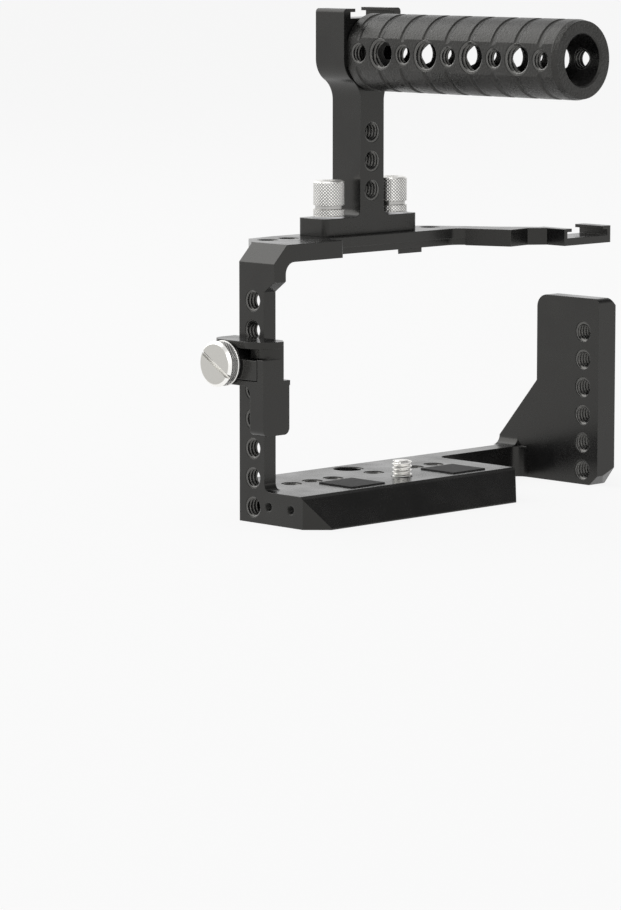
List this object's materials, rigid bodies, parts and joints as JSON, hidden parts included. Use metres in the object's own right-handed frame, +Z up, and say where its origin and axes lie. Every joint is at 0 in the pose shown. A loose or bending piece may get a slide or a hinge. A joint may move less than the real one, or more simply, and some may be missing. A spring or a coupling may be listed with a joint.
{
  "type": "camera cage",
  "caption": "Black camera cage with a bolt-on top handle, tubular cross-drilled grip, cold shoes, and a cable clamp held by a slotted thumbscrew.",
  "frame": {"origin": "mouth of the 1/4 inch tripod thread on the underside", "axes": "+X to the right seen from behind, +Y forward to the lens, +Z up"},
  "size_m": [0.1536, 0.1034, 0.1512],
  "materials": {
    "black_anodised": "black anodised, satin",
    "silver_steel": "nickel plated, bright",
    "black_screw": "black oxide, satin",
    "black_rubber": "matt"
  },
  "bodies": {
    "cage": {"cage_frame": "black_anodised", "locating_tongue": "black_anodised", "tongue_screw": "silver_steel", "base_pads": "black_rubber", "handle_bracket": "black_anodised", "handle_grip": "black_anodised", "grip_bolt": "black_screw", "grip_bolt_washer": "silver_steel", "grip_dowels": "silver_steel", "clamp_bracket": "black_anodised"},
    "left_washer": {"handle_washer_left": "silver_steel"},
    "left_screw": {"handle_screw_left": "silver_steel"},
    "right_washer": {"handle_washer_right": "silver_steel"},
    "right_screw": {"handle_screw_right": "silver_steel"},
    "jaw": {"clamp_jaw": "black_anodised", "clamp_jaw_pad": "black_rubber", "clamp_washer": "silver_steel"},
    "jaw_screw": {"clamp_screw": "silver_steel"},
    "base_washer": {"camera_screw_washer": "silver_steel"},
    "base_screw": {"camera_screw": "silver_steel"}
  },
  "joints": [
    {"name": "left_screw_lift", "type": "slide", "parent": "cage", "child": "left_washer", "axis": [0, 0, 1], "range_m": [0, 0.00508]},
    {"name": "left_screw_turn", "type": "hinge", "parent": "left_washer", "child": "left_screw", "pos_m": [-0.0135, 0.006, 0.094], "axis": [0, 0, 1], "range_deg": [0, 1440]},
    {"name": "right_screw_lift", "type": "slide", "parent": "cage", "child": "right_washer", "axis": [0, 0, 1], "range_m": [0, 0.00508]},
    {"name": "right_screw_turn", "type": "hinge", "parent": "right_washer", "child": "right_screw", "pos_m": [0.0135, 0.006, 0.094], "axis": [0, 0, 1], "range_deg": [0, 1440]},
    {"name": "jaw_slide", "type": "slide", "parent": "cage", "child": "jaw", "axis": [-1, 0, 0], "range_m": [0, 0.004]},
    {"name": "jaw_screw_turn", "type": "hinge", "parent": "jaw", "child": "jaw_screw", "pos_m": [-0.066, -0.0018, 0.0486], "axis": [-1, 0, 0], "range_deg": [0, 1134]},
    {"name": "base_screw_drop", "type": "slide", "parent": "cage", "child": "base_washer", "axis": [0, 0, -1], "range_m": [0, 0.00508]},
    {"name": "base_screw_turn", "type": "hinge", "parent": "base_washer", "child": "base_screw", "pos_m": [0, -0.012, 0.004], "axis": [0, 0, -1], "range_deg": [0, 1440]}
  ],
  "couplings": [
    {"joint": "left_screw_turn", "follows": "left_screw_lift", "rad_per_m": 4947.3},
    {"joint": "right_screw_turn", "follows": "right_screw_lift", "rad_per_m": 4947.3},
    {"joint": "jaw_screw_turn", "follows": "jaw_slide", "rad_per_m": 4947.3},
    {"joint": "base_screw_turn", "follows": "base_screw_drop", "rad_per_m": 4947.3}
  ]
}
